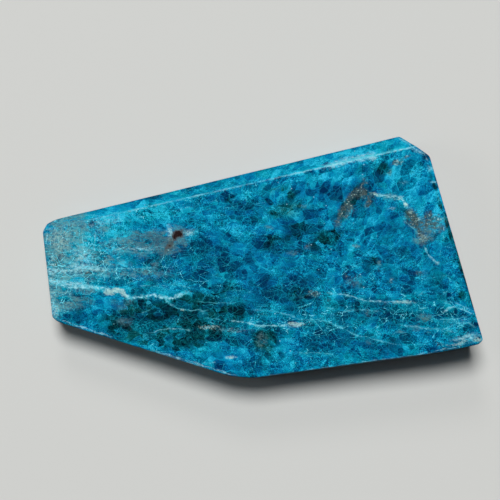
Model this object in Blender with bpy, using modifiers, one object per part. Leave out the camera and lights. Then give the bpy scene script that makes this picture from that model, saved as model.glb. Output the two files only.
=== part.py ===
"""A polished freeform slab of blue apatite, lying on its flat underside.

The stone is one piece: a sawn slice whose outline was ground by hand into short and long
straight facets. Its top face rises a little towards the wide end, a broad bevel runs along
the far edge, and the near walls lean in under the face. Lengths are metres with +Z up, and
the origin is on the ground under the middle of the stone.
"""

import math

import bmesh
import bpy
from mathutils import Vector

MM = 0.001
STONE_NAME = "apatite_slab"

# The top face: its height over the origin, and how much it rises towards +X
FACE_HEIGHT = 9.0 * MM
FACE_RISE = math.radians(2.06)

# The broad bevel: the ridge where it meets the top face, and its slope down to the far wall
RIDGE_LEFT = (-37.5, 4.3)
RIDGE_RIGHT = (27.4, 18.8)
BEVEL_SLOPE = math.radians(41.0)

# Corners of the outline in millimetres, seen from above and counter-clockwise, each with
# the lean of the wall that starts there in degrees: above zero it spreads towards the
# ground, below zero it is undercut.
OUTLINE = (
    ("near_tip_left", (-5.6, -22.2), -6.0),
    ("near_tip_right", (-1.2, -22.6), -6.0),
    ("near_bend", (32.5, -18.1), -6.5),
    ("right_toe_near", (38.1, -16.9), -6.0),
    ("right_toe_far", (38.85, -16.1), -3.0),
    ("right_shoulder", (30.5, 17.1), 15.0),
    ("far_right", (25.4, 21.7), 4.0),
    ("far_left", (-36.8, 6.45), 4.0),
    ("left_crown", (-38.25, 5.5), 3.0),
    ("left_shoulder", (-38.8, 3.6), -2.0),
    ("left_toe_far", (-36.6, -11.7), -4.0),
    ("left_toe_near", (-35.5, -12.6), -8.0),
)

# Width of the worn strip that polishing leaves along every edge, and its steps
WORN_EDGE = 0.4 * MM
WORN_EDGE_STEPS = 3
SHARP_ANGLE = math.radians(11.0)

# The block that the stone is cut from, larger than the stone on every side
BLOCK_SIZE = (90.0 * MM, 60.0 * MM, 14.0 * MM)


def clear_scene():
    for old in list(bpy.data.objects):
        bpy.data.objects.remove(old, do_unlink=True)


def face_height_at(x):
    """Height of the top face over the ground at one place along the stone."""
    return FACE_HEIGHT + x * math.tan(FACE_RISE)


def face_point(corner):
    """The point of the top face straight above or below an outline corner, in metres."""
    x, y = corner[0] * MM, corner[1] * MM
    return Vector((x, y, face_height_at(x)))


def outward(start, end):
    """Level direction that points out of the stone, square to one side of the outline."""
    along = (end - start).to_2d()
    return Vector((along.y, -along.x, 0)).normalized()


def top_plane():
    """The polished face, as a point on it and its normal."""
    return Vector((0, 0, FACE_HEIGHT)), Vector((-math.sin(FACE_RISE), 0, math.cos(FACE_RISE)))


def bevel_plane():
    """The broad bevel, which falls away from the ridge at its slope."""
    right, left = face_point(RIDGE_RIGHT), face_point(RIDGE_LEFT)
    normal = outward(right, left) * math.sin(BEVEL_SLOPE) + Vector((0, 0, math.cos(BEVEL_SLOPE)))
    # Square to the ridge itself, so that the whole ridge lies in the bevel
    ridge = (left - right).normalized()
    return right, (normal - ridge * normal.dot(ridge)).normalized()


def height_of_rim(corner):
    """How high the wall reaches at a corner: to the bevel where that is the lower one."""
    point, normal = bevel_plane()
    x, y = corner[0] * MM, corner[1] * MM
    on_bevel = point.z - ((x - point.x) * normal.x + (y - point.y) * normal.y) / normal.z
    return min(face_height_at(x), on_bevel)


def wall_planes():
    """One plane for each side of the outline, leaning out or in by its own angle."""
    planes = []
    for index, (_, corner, lean) in enumerate(OUTLINE):
        following = OUTLINE[(index + 1) % len(OUTLINE)][1]
        start = Vector((corner[0] * MM, corner[1] * MM, height_of_rim(corner)))
        end = Vector((following[0] * MM, following[1] * MM, height_of_rim(following)))
        side = (end - start).normalized()
        angle = math.radians(lean)
        normal = outward(start, end) * math.cos(angle) + Vector((0, 0, math.sin(angle)))
        planes.append((start, (normal - side * normal.dot(side)).normalized()))
    return planes


def grind(bm, point, normal):
    """Cuts away everything on the outer side of a plane and closes the cut."""
    everything = bm.verts[:] + bm.edges[:] + bm.faces[:]
    cut = bmesh.ops.bisect_plane(
        bm, geom=everything, plane_co=point, plane_no=normal, clear_outer=True
    )
    rim = [item for item in cut["geom_cut"] if isinstance(item, bmesh.types.BMEdge)]
    bmesh.ops.edgeloop_fill(bm, edges=rim)


def apatite_material():
    """Deep turquoise blue with a glassy polish."""
    material = bpy.data.materials.new("polished_apatite")
    material.use_nodes = True
    surface = material.node_tree.nodes["Principled BSDF"]
    surface.inputs["Base Color"].default_value = (0.008, 0.168, 0.275, 1)
    surface.inputs["Roughness"].default_value = 0.16
    surface.inputs["Metallic"].default_value = 0.0
    surface.inputs["IOR"].default_value = 1.63
    material.diffuse_color = (0.008, 0.168, 0.275, 1)
    return material


def make_stone(collection):
    """Cuts the stone out of a block, one facet after another, and wears its edges."""
    bm = bmesh.new()
    bmesh.ops.create_cube(bm, size=1.0)
    bmesh.ops.scale(bm, vec=BLOCK_SIZE, verts=bm.verts)
    bmesh.ops.translate(bm, vec=(0, 0, BLOCK_SIZE[2] / 2), verts=bm.verts)
    for point, normal in [top_plane(), bevel_plane(), *wall_planes()]:
        grind(bm, point, normal)
    bmesh.ops.recalc_face_normals(bm, faces=bm.faces)
    mesh = bpy.data.meshes.new(STONE_NAME)
    bm.to_mesh(mesh)
    bm.free()
    mesh.materials.append(apatite_material())
    stone = bpy.data.objects.new(STONE_NAME, mesh)
    collection.objects.link(stone)
    worn = stone.modifiers.new("worn_edges", "BEVEL")
    worn.width = WORN_EDGE
    worn.segments = WORN_EDGE_STEPS
    worn.limit_method = "ANGLE"
    worn.angle_limit = SHARP_ANGLE
    worn.use_clamp_overlap = True
    return stone


def main():
    clear_scene()
    collection = bpy.data.collections.new("blue_apatite")
    bpy.context.scene.collection.children.link(collection)
    make_stone(collection)


main()
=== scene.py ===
# %% [markdown]
# # A polished slab of blue apatite
# The stone is a sawn slice of blue apatite, 78 mm long, ground by hand into straight facets
# and polished all over. This script builds its surface from the same facets as the packed
# part, rounds the edges as polishing does, and then paints the mineral in layers: clouds of
# blue, a web of healed cracks, dark and brown inclusions, and pale veins.

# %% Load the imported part
import math

import bpy
import numpy as np
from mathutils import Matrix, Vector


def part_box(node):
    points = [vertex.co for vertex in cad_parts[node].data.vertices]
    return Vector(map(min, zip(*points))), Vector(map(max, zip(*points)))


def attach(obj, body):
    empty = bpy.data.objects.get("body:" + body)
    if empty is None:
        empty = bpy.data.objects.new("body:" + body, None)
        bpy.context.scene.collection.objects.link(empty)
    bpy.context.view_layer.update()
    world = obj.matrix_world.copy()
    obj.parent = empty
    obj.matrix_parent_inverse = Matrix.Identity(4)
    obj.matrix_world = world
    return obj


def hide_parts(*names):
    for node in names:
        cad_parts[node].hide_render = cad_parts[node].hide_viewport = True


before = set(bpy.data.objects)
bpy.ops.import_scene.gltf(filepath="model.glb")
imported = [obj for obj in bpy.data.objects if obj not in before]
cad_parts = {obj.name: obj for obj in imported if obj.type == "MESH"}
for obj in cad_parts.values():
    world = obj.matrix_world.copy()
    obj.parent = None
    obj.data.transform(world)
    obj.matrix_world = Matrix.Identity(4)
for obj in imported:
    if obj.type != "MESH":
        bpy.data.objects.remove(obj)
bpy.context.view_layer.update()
low, high = (np.array(corner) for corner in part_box("apatite_slab"))
MM = 0.001
print("packed stone, mm:", np.round((high - low) / MM, 2))

# %% [markdown]
# ## The camera first
# Most features below are placed by where they appear on a 500 by 500 picture, so the camera
# comes first. It looks down on the stone at 78 degrees above the ground through a 100 mm
# lens, which keeps the perspective weak, as in a close product photograph. A ray through a
# picture point then meets the polished face at one place in millimetres.

# %% The camera
PICTURE_SIZE = 500
LENS, SENSOR = 100.0, 36.0
CAMERA_HEIGHT_ANGLE = math.radians(78.0)
CAMERA_DISTANCE = 246.0
CAMERA_TARGET = np.array((-1.73, 0.13, 9.0))

view = np.array((0.0, math.cos(CAMERA_HEIGHT_ANGLE), -math.sin(CAMERA_HEIGHT_ANGLE)))
picture_up = np.array((0.0, math.sin(CAMERA_HEIGHT_ANGLE), math.cos(CAMERA_HEIGHT_ANGLE)))
camera_place = CAMERA_TARGET - view * CAMERA_DISTANCE

camera_data = bpy.data.cameras.new("camera")
camera_data.lens, camera_data.sensor_width = LENS, SENSOR
camera_data.clip_start, camera_data.clip_end = 0.01, 10
camera = bpy.data.objects.new("camera", camera_data)
camera.location = camera_place * MM
camera.rotation_euler = (math.pi / 2 - CAMERA_HEIGHT_ANGLE, 0, 0)
bpy.context.scene.collection.objects.link(camera)
bpy.context.scene.camera = camera
print("camera, mm:", np.round(camera_place, 2))

# %% [markdown]
# ## The facets of the stone
# A ground stone is the space that is left inside a set of flat cuts. Each cut is a plane: a
# direction pointing out of the stone and how far the plane lies along it. Describing the
# stone by its cuts keeps every facet truly flat, which modelling by eye would not. The
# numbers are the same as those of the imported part.

# %% Corners and cuts
FACE_HEIGHT, FACE_RISE = 9.0, math.radians(2.06)
RIDGE_LEFT, RIDGE_RIGHT = (-37.5, 4.3), (27.4, 18.8)
BEVEL_SLOPE = math.radians(41.0)
OUTLINE = {
    "near_tip_left": (-5.6, -22.2, -6.0),
    "near_tip_right": (-1.2, -22.6, -6.0),
    "near_bend": (32.5, -18.1, -6.5),
    "right_toe_near": (38.1, -16.9, -6.0),
    "right_toe_far": (38.85, -16.1, -3.0),
    "right_shoulder": (30.5, 17.1, 15.0),
    "far_right": (25.4, 21.7, 4.0),
    "far_left": (-36.8, 6.45, 4.0),
    "left_crown": (-38.25, 5.5, 3.0),
    "left_shoulder": (-38.8, 3.6, -2.0),
    "left_toe_far": (-36.6, -11.7, -4.0),
    "left_toe_near": (-35.5, -12.6, -8.0),
}


def face_height(x):
    """Height of the polished face: the middle height plus x times the tangent of its rise."""
    return FACE_HEIGHT + x * math.tan(FACE_RISE)


def unit(vector):
    """The vector divided by its own length."""
    return vector / np.linalg.norm(vector)


def cut(point, normal):
    """A plane as (direction, reach): points inside have direction times point below reach."""
    normal = unit(np.array(normal))
    return normal, float(normal @ np.array(point))


def outward(start, end):
    """Level direction square to a side, on its right when walking from start to end."""
    return unit(np.array((end[1] - start[1], start[0] - end[0], 0.0)))


def square_to(normal, line):
    """The normal without the part of it that runs along a line."""
    line = unit(line)
    return normal - line * (normal @ line)


face_cut = cut((0, 0, FACE_HEIGHT), (-math.sin(FACE_RISE), 0, math.cos(FACE_RISE)))
ridge_start = np.array((*RIDGE_LEFT, face_height(RIDGE_LEFT[0])))
ridge_end = np.array((*RIDGE_RIGHT, face_height(RIDGE_RIGHT[0])))
bevel_lean = outward(ridge_end, ridge_start) * math.sin(BEVEL_SLOPE)
bevel_lean = bevel_lean + np.array((0, 0, math.cos(BEVEL_SLOPE)))
bevel_cut = cut(ridge_end, square_to(bevel_lean, ridge_start - ridge_end))
ground_cut = cut((0, 0, 0), (0, 0, -1))


def rim_point(name):
    """An outline corner at the height where its walls end, on the face or on the bevel."""
    x, y, _ = OUTLINE[name]
    normal, reach = bevel_cut
    on_bevel = (reach - normal[0] * x - normal[1] * y) / normal[2]
    return np.array((x, y, min(face_height(x), on_bevel)))


names = list(OUTLINE)
walls = {}
for name, following in zip(names, names[1:] + names[:1]):
    start, end = rim_point(name), rim_point(following)
    lean = math.radians(OUTLINE[name][2])
    normal = outward(start, end) * math.cos(lean) + np.array((0, 0, math.sin(lean)))
    walls[name] = cut(start, square_to(normal, end - start))
cuts = [face_cut, bevel_cut, ground_cut, *walls.values()]
print("cuts that shape the stone:", len(cuts))

# %% [markdown]
# ## Corner lines
# Where three cuts meet there is a corner. The rim of the face, the ridge of the broad bevel
# and the rim of the underside are polylines through such corners. Each polyline is stepped
# so that a mesh line falls exactly on every corner, with short steps where an edge will be
# rounded and longer ones between.

# %% Polylines through the corners


def meet(*three):
    """The point on three planes: solve direction times point equals reach for all three."""
    return np.linalg.solve(np.array([c[0] for c in three]), np.array([c[1] for c in three]))


def foot(name):
    """The corner of the underside below an outline corner."""
    return meet(ground_cut, walls[name], walls[names[names.index(name) - 1]])


def share(point, start, end):
    """How far along a line a point lies, from 0 at its start to 1 at its end."""
    return float((point - start) @ (end - start) / ((end - start) @ (end - start)))


FINE_SHRINK, FINE_REACH = 0.78, 3.5


def steps(count, fine_start, fine_end):
    """Positions from 0 to 1 whose steps shrink to about a third at the chosen ends."""
    place = np.arange(count) + 0.5
    size = np.ones(count)
    if fine_start:
        size = size - FINE_SHRINK * np.exp(-place / FINE_REACH)
    if fine_end:
        size = size - FINE_SHRINK * np.exp(-(count - place) / FINE_REACH)
    total = np.concatenate([[0], np.cumsum(size)])
    return total / total[-1]


def stepped(corners, counts, fine_start=True, fine_end=True):
    """Points along a polyline, with the given number of steps on each of its pieces."""
    rows = []
    last = len(counts) - 1
    for k, count in enumerate(counts):
        t = steps(count, fine_start and k == 0, fine_end and k == last)[:, None]
        piece = corners[k] * (1 - t) + corners[k + 1] * t
        rows.append(piece if k == last else piece[:-1])
    return np.concatenate(rows)


ridge_left = meet(face_cut, bevel_cut, walls["left_crown"])
ridge_right = meet(face_cut, bevel_cut, walls["right_shoulder"])
left_share = share(ridge_left, rim_point("left_shoulder"), rim_point("left_crown"))
right_share = share(ridge_right, rim_point("right_shoulder"), rim_point("far_right"))

NEAR_NAMES = ["left_toe_near", "near_tip_left", "near_tip_right", "near_bend", "right_toe_near"]
NEAR_STEPS = [104, 18, 112, 26]
ACROSS = sum(NEAR_STEPS)
FACE_ROWS, BEVEL_ROWS, WALL_ROWS = 120, 24, 16

near_top = stepped([rim_point(n) for n in NEAR_NAMES], NEAR_STEPS)
near_foot = stepped([foot(n) for n in NEAR_NAMES], NEAR_STEPS)
ridge_top = stepped([ridge_left, ridge_right], [ACROSS])
far_top = stepped([rim_point("far_left"), rim_point("far_right")], [ACROSS])
far_foot = stepped([foot("far_left"), foot("far_right")], [ACROSS])

left_names = ["left_toe_near", "left_toe_far", "left_shoulder"]
right_names = ["right_toe_near", "right_toe_far", "right_shoulder"]
LEFT_STEPS = [10, FACE_ROWS - 15, 5]
RIGHT_STEPS = [10, FACE_ROWS - 20, 10]
LEFT_BEVEL_STEPS = [10, BEVEL_ROWS - 10]
left_face = stepped([*map(rim_point, left_names), ridge_left], LEFT_STEPS)
right_face = stepped([*map(rim_point, right_names), ridge_right], RIGHT_STEPS)
left_bevel_line = [ridge_left, rim_point("left_crown"), rim_point("far_left")]
left_bevel = stepped(left_bevel_line, LEFT_BEVEL_STEPS)
right_bevel = stepped([ridge_right, rim_point("far_right")], [BEVEL_ROWS])

below_left = foot("left_shoulder") * (1 - left_share) + foot("left_crown") * left_share
below_right = foot("right_shoulder") * (1 - right_share) + foot("far_right") * right_share
left_foot = stepped([*map(foot, left_names), below_left], LEFT_STEPS)
left_foot_far = stepped([below_left, foot("left_crown"), foot("far_left")], LEFT_BEVEL_STEPS)
left_foot = np.concatenate([left_foot, left_foot_far[1:]])
right_foot = stepped([*map(foot, right_names), below_right], RIGHT_STEPS)
right_foot_far = stepped([below_right, foot("far_right")], [BEVEL_ROWS])
right_foot = np.concatenate([right_foot, right_foot_far[1:]])
print("ridge from", np.round(ridge_left, 2), "to", np.round(ridge_right, 2))

# %% [markdown]
# ## Sheets between the lines
# A sheet that fills four border lines is the sum of two simple fills, near to far and left
# to right, less the fill of the four corners alone. When all four borders lie in one plane,
# the sheet does too, so the facets stay flat. The face, the bevel and the underside are such
# sheets, and straight rows join them around the stone.

# %% The lattice of the stone


def filled(near, far, left, right):
    """The sheet between four borders: near-far fill plus left-right fill minus corner fill."""
    across = np.linalg.norm(near - near[0], axis=1) + np.linalg.norm(far - far[0], axis=1)
    up = np.linalg.norm(left - left[0], axis=1) + np.linalg.norm(right - right[0], axis=1)
    u = (across / across[-1])[:, None, None]
    v = (up / up[-1])[None, :, None]
    between = near[:, None] * (1 - v) + far[:, None] * v
    sideways = left[None] * (1 - u) + right[None] * u
    corners = (near[0] * (1 - u) + near[-1] * u) * (1 - v) + (far[0] * (1 - u) + far[-1] * u) * v
    return between + sideways - corners


face_sheet = filled(near_top, ridge_top, left_face, right_face)
bevel_sheet = filled(ridge_top, far_top, left_bevel, right_bevel)
top_sheet = np.concatenate([face_sheet, bevel_sheet[:, 1:]], axis=1)
foot_sheet = filled(near_foot, far_foot, left_foot, right_foot)


def around(sheet):
    """The border of a sheet, counter-clockwise seen from above, without repeating its start."""
    near, right = sheet[:-1, 0], sheet[-1, :-1]
    far, left = sheet[:0:-1, -1], sheet[0, :0:-1]
    return np.concatenate([near, right, far, left])


rows_down = steps(WALL_ROWS, True, True)[1:-1, None, None]
wall_rows = around(top_sheet)[None] * (1 - rows_down) + around(foot_sheet)[None] * rows_down
points = np.concatenate([part.reshape(-1, 3) for part in (top_sheet, foot_sheet, wall_rows)])

top_count = top_sheet.shape[0] * top_sheet.shape[1]
numbers = np.arange(top_count).reshape(top_sheet.shape[:2])
rings = [around(numbers)]
ring_size = len(rings[0])
for k in range(WALL_ROWS - 1):
    rings.append(2 * top_count + k * ring_size + np.arange(ring_size))
rings.append(around(numbers) + top_count)
rings = np.array(rings)


def quads(grid, close=False):
    """Four-sided faces of a grid of point numbers, joined end to start when it closes."""
    if close:
        grid = np.concatenate([grid, grid[:, :1]], axis=1)
    corners = (grid[:-1, :-1], grid[1:, :-1], grid[1:, 1:], grid[:-1, 1:])
    return np.stack(corners, axis=-1).reshape(-1, 4)


top_faces = quads(numbers)
foot_faces = quads(numbers)[:, ::-1] + top_count
side_faces = quads(rings, close=True)
faces = np.concatenate([top_faces, foot_faces, side_faces])
print("points:", len(points), " triangles:", 2 * len(faces))

# %% [markdown]
# ## Worn edges
# Polishing rounds every edge a little. Instead of a bevel that has the same width all
# along, each point is pulled onto a smooth surface that hugs all the cuts: the logarithm of
# a sum of exponentials is nearly the largest distance to any cut, but blends where two are
# equal. A slow noise makes the rounding and the flatness uneven, as a hand at the wheel does.

# %% Round the edges
TABLE_SIZE = 8192
# Large odd numbers, which scatter neighbouring corners over the table
MIXERS = np.array((73856093, 19349663, 83492791))


def soft_noise(place, cell, seed):
    """Random numbers on a cubic lattice, blended smoothly between its corners, from -1 to 1."""
    table = np.random.default_rng(seed).uniform(-1, 1, TABLE_SIZE)
    scaled = place / cell
    corner = np.floor(scaled).astype(np.int64)
    t = scaled - corner
    t = t * t * (3 - 2 * t)
    total = np.zeros(len(place))
    for step in np.ndindex(2, 2, 2):
        mixed = np.bitwise_xor.reduce((corner + step) * MIXERS, axis=1)
        weight = np.prod(np.where(np.array(step) == 1, t, 1 - t), axis=1)
        total = total + weight * table[mixed % TABLE_SIZE]
    return total


EDGE_BLEND, RIDGE_BLEND, RIDGE_REACH = 0.105, 0.045, 1.2
BLEND_CHANGE, BLEND_CHANGE_SIZE = 0.35, 3.0
WAVINESS, WAVE_SIZE = 0.012, 9.0
NEWTON_STEPS = 5
directions = np.array([c[0] for c in cuts])
reaches = np.array([c[1] for c in cuts])
from_ridge = np.linalg.norm(np.cross(points - ridge_left, unit(ridge_right - ridge_left)), axis=1)
at_ridge = np.exp(-((from_ridge / RIDGE_REACH) ** 2))
blend = EDGE_BLEND + (RIDGE_BLEND - EDGE_BLEND) * at_ridge
blend = blend * (1 + BLEND_CHANGE * soft_noise(points, BLEND_CHANGE_SIZE, 11))
flatness = WAVINESS * (1 + soft_noise(points, WAVE_SIZE, 12))

for _ in range(NEWTON_STEPS):
    gap = (points @ directions.T - reaches) / blend[:, None]
    top = gap.max(axis=1, keepdims=True)
    weight = np.exp(gap - top)
    level = blend * (top[:, 0] + np.log(weight.sum(axis=1))) + flatness
    slope = (weight / weight.sum(axis=1, keepdims=True)) @ directions
    points = points - slope * (level / (slope * slope).sum(axis=1))[:, None]
print("largest last step onto the smooth surface, mm:", float(np.abs(level).max()))

# %% [markdown]
# Small chips sit along the sharpest edges, where the grinding wheel broke out a flake. Each
# is a ball that reaches a little into the edge: points inside the ball are pushed out of it
# along its radius, which leaves a shallow scoop.

# %% Chips along the edges


def scoop(points, middle, radius):
    """Pushes points within a radius of a middle out to that radius, straight away from it."""
    apart = points - middle
    length = np.linalg.norm(apart, axis=1)
    inside = length < radius
    moved = middle + apart * (radius / np.maximum(length, 1e-6))[:, None]
    return np.where(inside[:, None], moved, points)


CHIP_RADIUS, CHIP_DEPTH, CHIP_LIFT = (0.25, 0.7), (0.06, 0.16), (0.3, 0.8)
BOX_MARGIN = 0.001
CHIP_LINES = (
    ("left_toe_near", "near_tip_left", 16),
    ("near_tip_right", "near_bend", 14),
    ("left_shoulder", "left_toe_far", 8),
    ("right_toe_far", "right_shoulder", 7),
)
random = np.random.default_rng(7)
for start, end, count in CHIP_LINES:
    a, b = rim_point(start), rim_point(end)
    side = outward(a, b)
    for t in random.uniform(0.02, 0.98, count):
        radius = random.uniform(*CHIP_RADIUS)
        bite = random.uniform(*CHIP_DEPTH)
        lift = random.uniform(*CHIP_LIFT)
        direction = unit(side * (1 - lift) + np.array((0, 0, lift)))
        points = scoop(points, a * (1 - t) + b * t + direction * (radius - bite), radius)

points = np.clip(points, low / MM + BOX_MARGIN, high / MM - BOX_MARGIN)
print("rounded stone, mm:", np.round(points.max(axis=0) - points.min(axis=0), 2))

# %% [markdown]
# ## The mesh object
# The points and faces become one closed mesh in metres. It is shaded smooth: the facets still
# look flat, because their points lie in one plane, and the worn edges turn the light softly.

# %% Make the mesh object
mesh = bpy.data.meshes.new("blue_apatite_slab")
mesh.from_pydata(points * MM, [], faces.tolist())
mesh.polygons.foreach_set("use_smooth", np.ones(len(faces), bool))
mesh.update()
stone = bpy.data.objects.new("blue_apatite_slab", mesh)
bpy.context.scene.collection.objects.link(stone)
print("mesh:", len(mesh.vertices), "points,", len(mesh.polygons), "faces")

# %% [markdown]
# ## Where the inclusions lie
# The pattern of a mineral runs through the whole stone, so it is described in a flat map
# that slides sideways with depth: cracks and patches enter the face, lean, and come out on
# the walls. A picture point is turned into a place on this map by following the camera's ray
# to the face or the bevel, whichever it meets lower down.

# %% From picture points to the map of the pattern
PIXELS_PER_UNIT = LENS / SENSOR * PICTURE_SIZE
LEAN_X, LEAN_Y = 0.35, -0.20
WANDER, WANDER_SIZE = 0.09, 2.4
PUSH, PUSH_SIZE = 0.16, 1.1
MIDDLE = PICTURE_SIZE / 2


def seen_at(x, y):
    """The points of the stone that show at picture places x, y: the farther cut on each ray."""
    x, y = np.atleast_1d(np.asarray(x, float)), np.atleast_1d(np.asarray(y, float))
    ray = view + np.outer((x - MIDDLE) / PIXELS_PER_UNIT, (1, 0, 0))
    ray = ray + np.outer((MIDDLE - y) / PIXELS_PER_UNIT, picture_up)
    reach = [(c[1] - camera_place @ c[0]) / (ray @ c[0]) for c in (face_cut, bevel_cut)]
    return camera_place + ray * np.maximum(*reach)[:, None]


def on_map(place):
    """Map position of points inside the stone: slid by the lean times the depth under the face."""
    depth = face_height(place[:, 0]) - place[:, 2]
    wander = WANDER * depth
    x = place[:, 0] + LEAN_X * depth + wander * soft_noise(place, WANDER_SIZE, 21)
    y = place[:, 1] + LEAN_Y * depth + wander * soft_noise(place, WANDER_SIZE, 22)
    return np.stack([x, y], axis=1)


def map_of_picture(x, y):
    """Map position of what shows at picture places x, y."""
    place = seen_at(x, y)
    depth = face_height(place[:, 0]) - place[:, 2]
    return place[:, :2] + np.outer(depth, (LEAN_X, LEAN_Y))


MM_PER_PIXEL = CAMERA_DISTANCE / PIXELS_PER_UNIT
stone_map = on_map(points)
flat = np.concatenate([stone_map, np.zeros((len(points), 1))], axis=1)
push = np.stack([soft_noise(flat, PUSH_SIZE, seed) for seed in (31, 32)], axis=1)
stone_map = stone_map + PUSH * push
print("one pixel on the face is", round(MM_PER_PIXEL, 3), "mm")
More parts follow.
